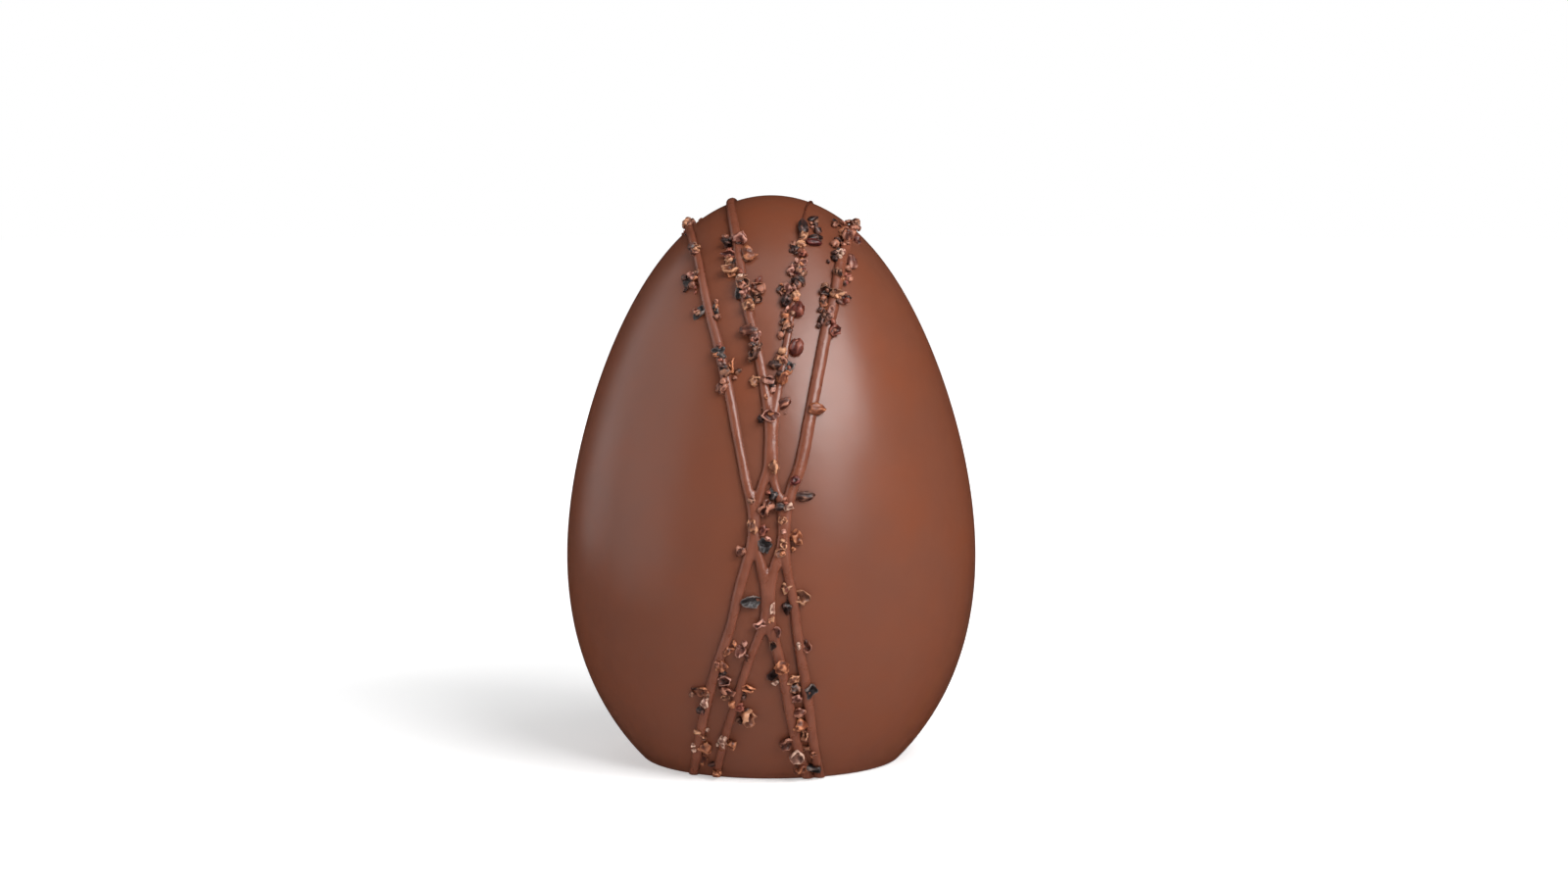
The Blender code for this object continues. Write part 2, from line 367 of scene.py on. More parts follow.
def rope_mesh(name, points, widths, travelled, seed):
    """A closed tube that lies on the egg."""
    count = len(points)
    rope_points = []
    for i in range(count):
        ahead = points[min(i + 1, count - 1)] - points[max(i - 1, 0)]
        along = Vector(ahead).normalized()
        out = outward(Vector(points[i]))
        across = along.cross(out).normalized()
        shift = noise.noise(Vector((travelled[i] / SWELL_LENGTH * 0.7, seed, 9.1))) * WANDER
        middle = Vector(points[i]) + across * shift
        half = (widths[i] + SETTLING) / 2
        in_trunk = 0
        if points[i][2] < TRUNK_HEIGHT:
            in_trunk = min(1, max(0, (widths[i] - TRUNK_WIDTH) / (0.5 * MM)))
        low = 1 - (1 - TRUNK_LOWNESS) * in_trunk
        for side in range(ROPE_SIDES):
            angle = math.tau * side / ROPE_SIDES
            rise = math.sin(angle) * (ROUNDNESS * low if math.sin(angle) > 0 else PRESSED) + RAISED * low
            rope_points.append(middle + (across * math.cos(angle) + out * rise) * half)
    faces = []
    for i in range(count - 1):
        for side in range(ROPE_SIDES):
            a = i * ROPE_SIDES + side
            b = i * ROPE_SIDES + (side + 1) % ROPE_SIDES
            faces.append((a, a + ROPE_SIDES, b + ROPE_SIDES, b))
    faces.append(tuple(range(ROPE_SIDES)))
    faces.append(tuple(reversed(range((count - 1) * ROPE_SIDES, count * ROPE_SIDES))))
    mesh = bpy.data.meshes.new(name)
    mesh.from_pydata(rope_points, [], faces)
    return add_object(name, mesh)


def join(things, name):
    """Several mesh objects as one."""
    bpy.ops.object.select_all(action="DESELECT")
    for thing in things:
        thing.select_set(True)
    bpy.context.view_layer.objects.active = things[0]
    if len(things) > 1:
        bpy.ops.object.join()
    things[0].name = name
    things[0].data.name = name
    return things[0]


ropes = [rope_mesh("rope", *section, 3.1 * number) for number, section in enumerate(sections)]
branches = join(ropes, "piped_lines")
print("ropes before melting:", len(branches.data.polygons), "faces")

# %% [markdown]
# ## Melt the ropes together
# A voxel remesh wraps one skin around everything that overlaps, and a little smoothing rounds the forks
# into soft webs as setting chocolate does. The remesh makes far more faces than the shape needs, so half
# are thinned out. The hidden underside is then drawn up to half a millimetre below the egg's surface, and
# the ends are cut off level just above the floor.

# %% One skin for all lines
VOXEL = 0.33 * MM
KEPT_FACES = 0.49       # the share of triangles that stay when the even ones are thinned out
UNDERSIDE = 0.5 * MM
FLOOR_GAP = 0.3 * MM


def apply_modifiers(thing):
    """Replace a mesh by what its modifiers make of it."""
    graph = bpy.context.evaluated_depsgraph_get()
    made = bpy.data.meshes.new_from_object(thing.evaluated_get(graph))
    thing.modifiers.clear()
    old = thing.data
    name = old.name
    thing.data = made
    bpy.data.meshes.remove(old)
    made.name = name


def melt(thing):
    wrap = thing.modifiers.new("wrap", "REMESH")
    wrap.mode = "VOXEL"
    wrap.voxel_size = VOXEL
    wrap.adaptivity = 0
    soften = thing.modifiers.new("soften", "SMOOTH")
    soften.factor = 0.5
    soften.iterations = 12
    thin_out = thing.modifiers.new("thin_out", "DECIMATE")
    thin_out.ratio = KEPT_FACES
    apply_modifiers(thing)


def coordinates(mesh):
    flat = np.empty(len(mesh.vertices) * 3)
    mesh.vertices.foreach_get("co", flat)
    return flat.reshape(-1, 3)


def draw_up_underside(thing):
    points = coordinates(thing.data)
    outside, surface = depth_in_egg(points)
    arm = surface - np.array([0, 0, EGG_MIDDLE])
    arm /= np.linalg.norm(arm, axis=1)[:, None]
    deep = outside < -UNDERSIDE
    points[deep] = surface[deep] - arm[deep] * UNDERSIDE
    thing.data.vertices.foreach_set("co", points.ravel())
    thing.data.update()


def cut_level(thing, height):
    """Cut a mesh off at a height and close it with a flat face."""
    shell = bmesh.new()
    shell.from_mesh(thing.data)
    whole = shell.verts[:] + shell.edges[:] + shell.faces[:]
    level = {"plane_co": (0, 0, height), "plane_no": (0, 0, 1)}
    cut = bmesh.ops.bisect_plane(shell, geom=whole, clear_inner=True, **level)
    rim = [e for e in cut["geom_cut"] if isinstance(e, bmesh.types.BMEdge)]
    bmesh.ops.holes_fill(shell, edges=rim, sides=0)
    bmesh.ops.triangulate(shell, faces=[f for f in shell.faces if len(f.verts) > 4])
    shell.to_mesh(thing.data)
    shell.free()


def note_rise(thing):
    """Keep each point's height above the egg on the mesh: 0 at the contact line, 1 from a millimetre up."""
    rise = np.clip(depth_in_egg(coordinates(thing.data))[0] / MM, 0, 1)
    thing.data.attributes.new("line_rise", "FLOAT", "POINT").data.foreach_set("value", rise)


melt(branches)
draw_up_underside(branches)
cut_level(branches, FLOOR_GAP)
note_rise(branches)
branches.data.shade_smooth()
print("piped lines:", len(branches.data.polygons), "faces")

# %% [markdown]
# ## Shapes of nibs
# Cocoa nibs are roasted beans broken up small. Under a glass they come in a few kinds: angular chunks with
# broken faces, thin flakes and curls of shell, little cups that look like rings from above, and smoother
# pieces that still have the bean's rounded skin. Modelling each by hand would take days, and scattering one
# shape would look like gravel from a machine. So every kind gets its own small recipe, and each nib is made
# afresh from its own random numbers. A nib's length, width and depth are all 1 here; sizes come later.

# %% Chunks with broken faces
def as_arrays(shell):
    """Points and triangles of a bmesh."""
    bmesh.ops.triangulate(shell, faces=shell.faces[:])
    shell.verts.index_update()
    points = np.array([tuple(v.co) for v in shell.verts])
    faces = np.array([[v.index for v in f.verts] for f in shell.faces])
    shell.free()
    return points, faces


def to_unit_size(points):
    """The same shape with its centre at 0 and each side 1 long."""
    low, high = points.min(axis=0), points.max(axis=0)
    return (points - (low + high) / 2) / (high - low)


def roughen(points, rng, amount, size):
    """Points moved by a seeded noise."""
    offset = Vector(rng.uniform(0, 90, 3))
    moved = [p + np.array(noise.noise_vector(Vector(p) / size + offset)) * amount for p in points]
    return np.array(moved)


def scallop(points, rng, depth, size):
    """Hollow bites with sharp ridges between them, as a broken bean has."""
    offset = Vector(rng.uniform(0, 90, 3))
    far = np.array([noise.voronoi(Vector(p) / size + offset)[0][0] for p in points])
    return points * (1 + depth * (far - far.mean()))[:, None], far


def ball(subdivisions):
    shell = bmesh.new()
    bmesh.ops.create_icosphere(shell, subdivisions=subdivisions, radius=1)
    return as_arrays(shell)


def sharpness(points, faces):
    """0 in hollows and on flat faces, 1 on sharp ridges."""
    corner = points[faces]
    face_normal = np.cross(corner[:, 1] - corner[:, 0], corner[:, 2] - corner[:, 0])
    normal = np.zeros_like(points)
    for k in range(3):
        np.add.at(normal, faces[:, k], face_normal)
    normal /= np.linalg.norm(normal, axis=1)[:, None] + 1e-12
    total = np.zeros(len(points))
    count = np.zeros(len(points))
    for k in range(3):
        a, b = faces[:, k], faces[:, (k + 1) % 3]
        edge = points[b] - points[a]
        length = np.linalg.norm(edge, axis=1) + 1e-12
        bend = ((normal[b] - normal[a]) * edge).sum(axis=1) / length
        np.add.at(total, a, bend)
        np.add.at(total, b, bend)
        np.add.at(count, a, 1)
        np.add.at(count, b, 1)
    return np.clip((total / np.maximum(count, 1) - 0.12) * 2.6, 0, 1)


def relief(far, ridge):
    """0 in the deepest hollows, about a half on plain faces, 1 on sharp ridges: the material paints shade into
    the hollows, and wear and a highlight onto the ridges.
    """
    return np.clip(0.6 * (far - far.min()) / (far.max() - far.min()), 0, 0.6) + 0.4 * ridge


def make_chunk(rng, subdivisions):
    """A ball cut by random flat faces, then bitten and crumpled."""
    points, faces = ball(subdivisions)
    count = rng.integers(8, 13)
    aims = rng.normal(size=(count, 3))
    aims /= np.linalg.norm(aims, axis=1)[:, None]
    reach = rng.uniform(0.45, 0.85, count)
    facing = points @ aims.T
    with np.errstate(divide="ignore", invalid="ignore"):
        cut = np.where(facing > 0.05, reach / facing, 9)
    points = points * np.minimum(cut.min(axis=1), 1.1)[:, None]
    points, far = scallop(points, rng, 0.65, 0.58)
    points = roughen(points, rng, 0.22, 0.50)
    points = roughen(points, rng, 0.06, 0.17)
    return to_unit_size(points), faces, relief(far, sharpness(points, faces))


test_chunk = make_chunk(np.random.default_rng(1), 3)
print("a chunk has", len(test_chunk[1]), "triangles")

# %% [markdown]
# Flakes, curls and cups are all pieces of thin shell. One recipe makes them: an uneven outline with a few
# corners, given two faces and a rim, then cupped like a saucer and rolled round a finger. How much of each
# decides which kind it becomes.

# %% Thin shells: flakes, curls and cups
PLATE_SPOKES = 26
PLATE_RINGS = 5


def outline(rng, corners):
    """Distance from the middle to the edge in each direction, for a shape with this many rounded corners."""
    spots = np.sort(rng.uniform(0, 1, corners) * 0.6 + np.arange(corners)) / corners * math.tau
    reach = rng.uniform(0.75, 1.1, corners)
    tips = np.stack([np.cos(spots) * reach, np.sin(spots) * reach], axis=1)
    edge = []
    for angle in np.arange(PLATE_SPOKES) / PLATE_SPOKES * math.tau:
        aim = np.array([math.cos(angle), math.sin(angle)])
        best = 0.2
        for k in range(corners):
            a, b = tips[k], tips[(k + 1) % corners]
            cross = aim[0] * (b - a)[1] - aim[1] * (b - a)[0]
            if abs(cross) < 1e-9:
                continue
            far = (a[0] * (b - a)[1] - a[1] * (b - a)[0]) / cross
            along = (a[0] * aim[1] - a[1] * aim[0]) / cross
            if far > 0 and -0.01 <= along <= 1.01:
                best = max(best, far)
        edge.append(best)
    edge = np.array(edge)
    soft = (np.roll(edge, 1) + np.roll(edge, -1)) / 2
    return edge * 0.6 + soft * 0.4 + rng.normal(0, 0.05, PLATE_SPOKES)


def make_plate(rng, corners, slim, cupping, roll, thickness):
    """A thin piece: slim is width over length, cupping makes a saucer, roll is the angle it curls through."""
    edge = outline(rng, corners)
    angle = np.arange(PLATE_SPOKES) / PLATE_SPOKES * math.tau
    share = np.sin(np.linspace(0.12, 1, PLATE_RINGS) * math.pi / 2)
    layers = []
    rims = []
    for face_side in (1, -1):
        for ring in (range(PLATE_RINGS) if face_side > 0 else reversed(range(PLATE_RINGS))):
            r = share[ring]
            x = np.cos(angle) * edge * r
            y = np.sin(angle) * edge * r * slim
            thin = thickness * math.sqrt(max(0.0, 1 - 0.75 * r**4))
            z = cupping * (r**2 - 0.4) * edge + face_side * thin
            layers.append(np.stack([x, y, z], axis=1))
            rims.append(np.full(PLATE_SPOKES, r**5))
    middle_z = -0.4 * cupping
    points = np.concatenate([[[0, 0, middle_z + thickness]], *layers, [[0, 0, middle_z - thickness]]])
    rim = np.concatenate([[0], *rims, [0]])
    faces = []
    for k in range(PLATE_SPOKES):
        n = (k + 1) % PLATE_SPOKES
        faces.append((0, 1 + k, 1 + n))
        for row in range(2 * PLATE_RINGS - 1):
            a, b = 1 + row * PLATE_SPOKES + k, 1 + row * PLATE_SPOKES + n
            c, d = b + PLATE_SPOKES, a + PLATE_SPOKES
            faces += [(a, d, c), (a, c, b)]
        low = 1 + (2 * PLATE_RINGS - 1) * PLATE_SPOKES
        faces.append((len(points) - 1, low + n, low + k))
    offset = Vector(rng.uniform(0, 90, 3))
    creases = np.array([noise.voronoi(Vector((x, y, 0)) / 0.75 + offset)[0][0] for x, y, z in points])
    points[:, 2] += creases * 0.35
    points = roughen(points, rng, 0.20, 0.6)
    bend = 1 / roll
    turn = points[:, 1] / bend / slim
    fold = bend * slim - points[:, 2]
    points = np.stack([points[:, 0], np.sin(turn) * fold, bend * slim - np.cos(turn) * fold], axis=1)
    points = roughen(points, rng, 0.05, 0.17)
    ridge = sharpness(points, np.array(faces))
    wear_and_highlight = np.maximum(rim, ridge) * rng.uniform(0.4, 1.0)
    return to_unit_size(points), np.array(faces), relief(creases + 0.3 * rim, wear_and_highlight)


test_plate = make_plate(np.random.default_rng(1), 5, 0.7, 0.2, 0.8, 0.1)
print("a flake has", len(test_plate[1]), "triangles")

# %% [markdown]
# Some pieces are whole small halves of a bean: an oval with a crease along it and a fine wrinkled skin.

# %% Smooth bean pieces
def make_bean(rng):
    points, faces = ball(3)
    x, y, z = points.T
    crease = rng.uniform(0.2, 0.45)
    z = z - crease * np.exp(-((y - 0.15) / 0.22) ** 2) * np.maximum(0, z)
    y = (y + rng.uniform(-0.25, 0.25) * x**2) * (1 - 0.25 * x)
    points, far = scallop(np.stack([x, y, z], axis=1), rng, 0.22, 0.7)
    points = roughen(points, rng, 0.16, 0.5)
    points = roughen(points, rng, 0.035, 0.13)
    return to_unit_size(points), faces, relief(far, sharpness(points, faces) * 0.8)


test_bean = make_bean(np.random.default_rng(1))
print("a bean piece has", len(test_bean[1]), "triangles")

# %% [markdown]
# ## Where the nibs go
# A confectioner presses the nibs on by hand, thickly at the tips of the branches and sparsely lower down.
# A random scatter can't copy that rhythm, so each nib has a row: how far right, how high, its kind, its
# tone, its length and width, and the direction of its length (0 is level, 90 is upright). Millimetres and
# degrees.

# %% The nibs of the two left branches
NIBS_LEFT = [
    (-26, 169.5, "chunk", "tan", 2.4, 2.2, 20), (-22.5, 163.5, "curl", "tan", 2.6, 1.6, 0),
    (-23, 161.5, "chunk", "rust", 2.6, 2.2, 60), (-24, 155, "chunk", "pink", 3.2, 2.8, 30),
    (-25.5, 153, "flake", "dark", 4.5, 2.8, -20), (-23.5, 152, "chunk", "red", 1.8, 1.4, 0),
    (-22, 144.5, "flake", "slate", 4.7, 3.4, 40), (-17, 145, "flake", "slate", 3.8, 2.1, 90),
    (-15.5, 132.5, "flake", "slate", 4.0, 3.0, 10), (-12, 129, "curl", "orange", 4.2, 2.3, 80),
    (-14, 128, "chunk", "dark", 2.5, 2.0, 0), (-15, 122.5, "chunk", "rust", 4.6, 3.0, 80),
    (-13.5, 165, "chunk", "dark", 3.8, 2.8, 30), (-9.5, 165.5, "chunk", "pink", 4.8, 3.8, 20),
    (-13, 161.5, "curl", "red", 4.5, 2.4, 0), (-12, 159.5, "flake", "dark", 3.4, 2.0, 0),
    (-7, 161.5, "chunk", "orange", 4.9, 3.8, -20), (-12, 157, "cup", "tan", 5.8, 4.4, 40),
    (-9, 154.5, "chunk", "pale", 2.5, 2.0, 50), (-8.5, 152.5, "cup", "brown", 4.0, 3.6, 0),
    (-7.5, 150, "chunk", "pink", 3.2, 2.6, 30), (-4, 152, "flake", "rust", 4.2, 3.4, 0),
    (-4.5, 149, "cup", "brown", 3.2, 3.0, 0), (-9.5, 150, "flake", "slate", 3.8, 2.2, 90),
    (-6.5, 146, "chunk", "tan", 3.4, 2.8, 10), (-6.5, 139, "bean", "rust", 5.4, 3.2, 0),
    (-4.5, 137, "chunk", "pink", 2.8, 2.2, 70), (-5.5, 135, "chunk", "dark", 2.6, 2.2, 0),
    (-5, 132, "curl", "brown", 4.1, 3.5, 75), (-5, 125, "curl", "tan", 3.6, 2.2, 0),
    (-1, 124.5, "curl", "pink", 3.6, 2.6, 0),
]
print(len(NIBS_LEFT), "nibs on the left branches")

# %% The nibs of the two right branches
NIBS_RIGHT = [
    (13, 172.5, "bean", "dark", 3.8, 1.9, 8), (9.5, 169.5, "bean", "dark", 6.3, 3.0, 84),
    (13.5, 167, "bean", "dark", 5.0, 2.1, 6), (13, 165.5, "bean", "crimson", 4.8, 2.4, 0),
    (9, 165.5, "curl", "tan", 3.6, 1.7, 0), (7.5, 164, "chunk", "dark", 3.0, 2.2, 10),
    (9.5, 161.5, "chunk", "red", 3.6, 2.7, 80), (8.5, 158.5, "curl", "pink", 4.2, 2.0, 15),
    (6, 157.5, "chunk", "pink", 2.9, 2.7, 0), (9, 156.5, "bean", "crimson", 4.0, 2.4, 0),
    (8, 154, "chunk", "dark", 4.3, 2.7, -15), (3, 152, "flake", "brown", 3.0, 2.4, 70),
    (5, 151.5, "chunk", "pink", 3.6, 2.9, 80), (7.5, 150, "chunk", "tan", 1.9, 1.6, 0),
    (4.5, 148, "chunk", "dark", 4.2, 3.4, 80), (8, 145.5, "bean", "red", 4.8, 4.2, 70),
    (4, 143, "curl", "brown", 4.0, 2.5, 85), (3.5, 139, "bean", "brown", 4.5, 1.6, 85),
    (5, 141, "cup", "pink", 2.4, 2.2, 0), (7.5, 134.5, "bean", "red", 5.2, 4.0, 75),
    (3, 131, "curl", "tan", 3.4, 1.8, 10), (1.5, 129.5, "bean", "brown", 4.5, 2.6, 0),
    (5.5, 128.5, "flake", "slate", 3.9, 2.8, 80), (3.5, 125.5, "chunk", "orange", 4.0, 3.7, 60),
    (0.5, 123, "chunk", "dark", 2.2, 1.9, 0), (3.5, 118, "bean", "rust", 4.6, 3.0, 10),
    (20.5, 171, "flake", "dark", 4.0, 1.5, -28), (25, 170, "chunk", "brown", 2.8, 2.4, 30),
    (23, 169, "chunk", "orange", 2.3, 1.9, 0), (22.5, 166.5, "chunk", "rust", 4.4, 4.0, 50),
    # painted shadow: the dark chunk at 20.5, 165.5 stands where there is only shadow beside the chunk next to
    # it
    (26.5, 166, "chunk", "red", 3.4, 2.5, 75), (20.5, 165.5, "chunk", "dark", 2.9, 2.1, 90),
    # painted glint: the small pale chunk at 21, 161.5 stands for a glint of light
    (21, 161.5, "chunk", "pale", 2.1, 1.7, 80), (19.5, 160.5, "chunk", "dark", 2.6, 2.1, 80),
    (24.5, 159.5, "bean", "pink", 5.0, 3.3, 78), (23.5, 155, "chunk", "red", 2.2, 2.0, 0),
    (22.5, 153.5, "chunk", "crimson", 2.2, 2.0, 0), (20, 155.5, "chunk", "brown", 3.2, 2.2, 85),
    (16.5, 151, "cup", "brown", 4.0, 3.4, 0), (19, 149.5, "curl", "tan", 4.2, 2.5, 0),
    (22, 149, "cup", "red", 3.3, 2.3, 85), (16, 147, "chunk", "orange", 2.5, 1.7, 0),
    (15, 145.5, "chunk", "dark", 2.0, 1.8, 0), (17, 144, "chunk", "pink", 4.0, 2.8, 80),
    (15.5, 142, "chunk", "dark", 2.8, 2.4, 0), (18.5, 139, "cup", "red", 4.1, 3.7, 20),
    (13.5, 116, "bean", "orange", 5.2, 3.3, 0), (7, 95, "chunk", "crimson", 3.3, 2.7, 40),
]
print(len(NIBS_RIGHT), "nibs on the right branches")

# %% The nibs at the waist
NIBS_WAIST = [
    (-0.5, 114, "cup", "pink", 5.3, 3.8, 0), (-3, 113.5, "chunk", "dark", 2.6, 2.2, 40),
    (1, 99, "chunk", "tan", 3.8, 3.0, 85), (0.5, 91.5, "chunk", "slate", 3.1, 2.9, 40),
    (10, 90.5, "bean", "brown", 5.9, 2.8, 4), (-1.5, 87, "curl", "rust", 4.9, 4.3, 60),
    (2.5, 87.5, "bean", "dark", 2.9, 2.4, 0), (5, 87.5, "chunk", "pale", 2.7, 2.3, 0),
    (3.5, 83.5, "chunk", "tan", 2.5, 2.1, 0), (-5.5, 81.5, "chunk", "tan", 3.8, 2.9, 80),
    (-2.2, 80.5, "chunk", "red", 3.2, 2.7, 60), (-1, 78, "chunk", "pink", 2.0, 1.4, 0),
    (-5.8, 89.3, "chunk", "brown", 2.4, 1.8, 0), (3.8, 89.5, "chunk", "rust", 2.2, 1.6, 30),
    (7, 78.5, "chunk", "orange", 4.4, 4.0, 50), (-2, 76, "flake", "slate", 4.3, 4.1, -90),
    (-9, 74.5, "curl", "rust", 3.3, 3.0, 50), (3.5, 76, "cup", "tan", 2.5, 2.1, 80),
    (2.5, 74, "cup", "tan", 3.2, 2.5, 0),
    (-6, 59, "flake", "slate", 6.2, 3.5, 10), (4.5, 63, "chunk", "tan", 3.5, 3.0, 60),
    (8.5, 60.5, "flake", "tan", 5.5, 3.7, -30), (4.5, 57, "chunk", "dark", 3.8, 3.0, 80),
    (0.4, 57.3, "chunk", "pale", 3.6, 1.8, 86), (0.2, 54, "chunk", "tan", 2.2, 1.7, 40),
    (-3.5, 52.5, "curl", "pink", 3.6, 2.5, 20), (1.5, 50, "cup", "pink", 3.9, 2.9, 80),
    (0.5, 46, "cup", "brown", 3.0, 2.1, 80),
]
print(len(NIBS_WAIST), "nibs at the waist")

# %% The nibs of the lower branches
NIBS_LOWER = [
    (-13, 44, "chunk", "orange", 3.3, 2.9, 10), (-9.5, 43.5, "flake", "pink", 3.6, 3.2, 70),
    (-7, 42, "flake", "rust", 3.8, 1.7, 88), (8, 46.5, "chunk", "pale", 1.4, 1.2, 0),
    (10.5, 45, "cup", "rust", 3.6, 3.0, 80), (3, 39.5, "chunk", "orange", 4.3, 4.0, 30),
    (0.5, 36.5, "flake", "dark", 3.9, 3.1, 80), (1, 34, "chunk", "pale", 2.2, 1.8, 0),
    (6.5, 35, "chunk", "tan", 3.8, 2.6, 10), (7, 32, "chunk", "brown", 3.3, 2.9, 0),
    (11.5, 31.5, "flake", "slate", 5.0, 3.8, 70), (7.5, 28.5, "chunk", "pink", 3.7, 3.1, 40),
    (8.5, 24.5, "chunk", "rust", 3.3, 3.0, 0), (9, 20.5, "chunk", "orange", 4.7, 3.7, 0),
    (10, 16.5, "curl", "tan", 3.3, 2.0, 88), (4.5, 14, "cup", "rust", 4.3, 4.0, 30),
    (7.5, 10, "cup", "pale", 4.4, 3.8, 70), (10.5, 12, "curl", "tan", 3.1, 2.0, 0),
    (12.5, 10.5, "cup", "orange", 2.3, 2.1, 0), (8.5, 5.5, "curl", "orange", 3.8, 2.8, 15),
    (12.5, 4.5, "flake", "slate", 5.7, 5.0, 50),
    (-14.5, 39, "chunk", "orange", 3.7, 3.3, 80), (-15, 36.5, "chunk", "dark", 3.0, 1.7, 0),
    (-14, 34.5, "cup", "pink", 3.9, 3.2, 0), (-13.5, 31.5, "chunk", "rust", 5.3, 2.6, -15),
    (-20.5, 30.5, "cup", "orange", 4.2, 2.9, 0), (-23.5, 31, "flake", "brown", 2.7, 1.2, 0),
    (-19.5, 27.5, "chunk", "pale", 3.4, 2.4, 80), (-21, 25, "chunk", "dark", 2.8, 2.2, 0),
    (-14, 29, "cup", "tan", 2.4, 2.0, 0), (-12, 27, "chunk", "orange", 2.3, 2.0, 0),
    (-9.5, 26, "chunk", "red", 2.9, 2.3, 0), (-7, 32, "curl", "orange", 4.2, 2.4, 0),
    (-8.5, 29, "chunk", "dark", 2.2, 1.6, 0), (-7, 23, "curl", "tan", 5.2, 4.3, 65),
    (-9.5, 21.5, "chunk", "brown", 2.8, 1.8, 80), (-22, 17.5, "chunk", "tan", 2.0, 1.7, 0),
    (-19.5, 17.5, "chunk", "pale", 1.3, 1.1, 0), (-20.5, 15.5, "cup", "tan", 2.2, 2.0, 0),
    (-23.5, 12.5, "chunk", "pale", 1.4, 1.2, 0), (-20, 11.5, "chunk", "orange", 3.9, 3.4, 80),
    (-21, 7, "flake", "orange", 3.5, 3.1, 70), (-14.5, 15, "chunk", "pale", 3.5, 2.5, 80),
    (-16.5, 12.5, "chunk", "pale", 1.5, 1.2, 0), (-12, 13.5, "chunk", "orange", 3.4, 2.5, 80),
    (-18, 5.5, "chunk", "dark", 2.8, 1.6, 0), (-16.5, 3.5, "chunk", "orange", 2.9, 2.5, 0),
]
nib_rows = NIBS_LEFT + NIBS_RIGHT + NIBS_WAIST + NIBS_LOWER
print(len(nib_rows), "nibs on the front")

# %% [markdown]
# Between the nibs lie the crumbs that broke off them. They are too many to place by hand, so each nib drops
# a few, close by, with its own random numbers: more at the thick tips of the branches than lower down.

# %% Crumbs beside the nibs
CRUMB_TONES = ["rust", "rust", "rust", "brown", "red", "dark", "pink", "orange"]
THICK_TIPS = 120        # millimetres; above this height the nibs lie in a crust
CRUMB_SPREAD = 1.5


def crumbs_beside(rows):
    rng = np.random.default_rng(5)
    crumbs = []
    for side, height, kind, tone, length, width, direction in rows:
        in_crust = height > THICK_TIPS
        for _ in range(3 if in_crust else rng.integers(0, 2)):
            shift = rng.normal(0, CRUMB_SPREAD, 2)
            chosen = tone if rng.uniform() < 0.4 else CRUMB_TONES[rng.integers(len(CRUMB_TONES))]
            size = rng.uniform(1.2, 2.9) if in_crust else rng.uniform(0.9, 2.1)
            place = (side + shift[0] * 0.5, max(2, height + shift[1]))
            crumbs.append((*place, "crumb", chosen, size, size * rng.uniform(0.6, 1), rng.uniform(0, 180)))
    return crumbs


nib_rows = nib_rows + crumbs_beside(nib_rows)
print(len(nib_rows), "nibs and crumbs on the front")

# %% [markdown]
# ## Tones of nibs
# Roasting gives the broken faces anything from pale tan to a red brown, the skin goes dark, and shell that
# caught the light looks slate grey. Each tone is one colour for the body and one for the rims and ridges,
# which is partly wear and partly a painted highlight.

# %% Body and rim colours, linear
TONES = {
    "tan": ((0.22, 0.078, 0.038), (0.58, 0.28, 0.155)),
    "orange": ((0.23, 0.064, 0.026), (0.58, 0.22, 0.105)),
    "pink": ((0.17, 0.053, 0.036), (0.54, 0.26, 0.195)),
    "pale": ((0.28, 0.130, 0.090), (0.70, 0.46, 0.350)),
    "red": ((0.12, 0.022, 0.013), (0.33, 0.100, 0.062)),
    "crimson": ((0.085, 0.011, 0.010), (0.26, 0.060, 0.045)),
    "rust": ((0.13, 0.037, 0.021), (0.40, 0.160, 0.100)),
    "brown": ((0.065, 0.022, 0.014), (0.34, 0.150, 0.090)),
    "dark": ((0.030, 0.012, 0.010), (0.13, 0.056, 0.042)),
    "slate": ((0.036, 0.029, 0.030), (0.17, 0.125, 0.110)),
}
DEPTHS = {"chunk": 0.95, "flake": 0.55, "curl": 0.85, "cup": 0.70, "bean": 0.80, "crumb": 0.9}
SUNK = {"chunk": 0.24, "flake": 0.28, "curl": 0.20, "cup": 0.26, "bean": 0.28, "crumb": 0.25}
TILTS = {"chunk": 35, "flake": 34, "curl": 32, "cup": 30, "bean": 14, "crumb": 60}
NIB_GROWTH = 1.15       # a tilted nib looks shorter than it is
LARGE_NIB = 2.4         # millimetres; smaller ones need fewer triangles


def make_shape(kind, length, rng):
    """Points, triangles and rims of a new nib of this kind."""
    if kind == "chunk":
        return make_chunk(rng, 3 if length > LARGE_NIB else 2)
    if kind == "crumb":
        return make_chunk(rng, 2)
    if kind == "bean":
        return make_bean(rng)
    if kind == "flake":
        return make_plate(rng, rng.integers(3, 6), 0.85, rng.uniform(-0.1, 0.25), rng.uniform(0.4, 0.9), 0.15)
    if kind == "curl":
        return make_plate(rng, rng.integers(4, 6), 0.8, 0.05, rng.uniform(1.3, 2.0), 0.14)
    return make_plate(rng, rng.integers(5, 8), 0.95, rng.uniform(0.35, 0.6), rng.uniform(0.5, 1.1), 0.17)


print("tones:", ", ".join(TONES))

# %% [markdown]
# ## Press each nib in
# A ray is sent inward at each place. It stops at the top of a piped line if there is one, or at the egg.
# The nib is turned, tilted a little, and sunk by about a quarter of its depth, as if pressed into wet
# chocolate. At the widest part of the egg a nib that would stand outside the CAD box is pressed deeper.

# %% Place the nibs
line_faces = [tuple(polygon.vertices) for polygon in branches.data.polygons]
line_tree = BVHTree.FromPolygons(coordinates(branches.data).tolist(), line_faces)
REACH = 6 * MM
BOX_MARGIN = 0.05 * MM


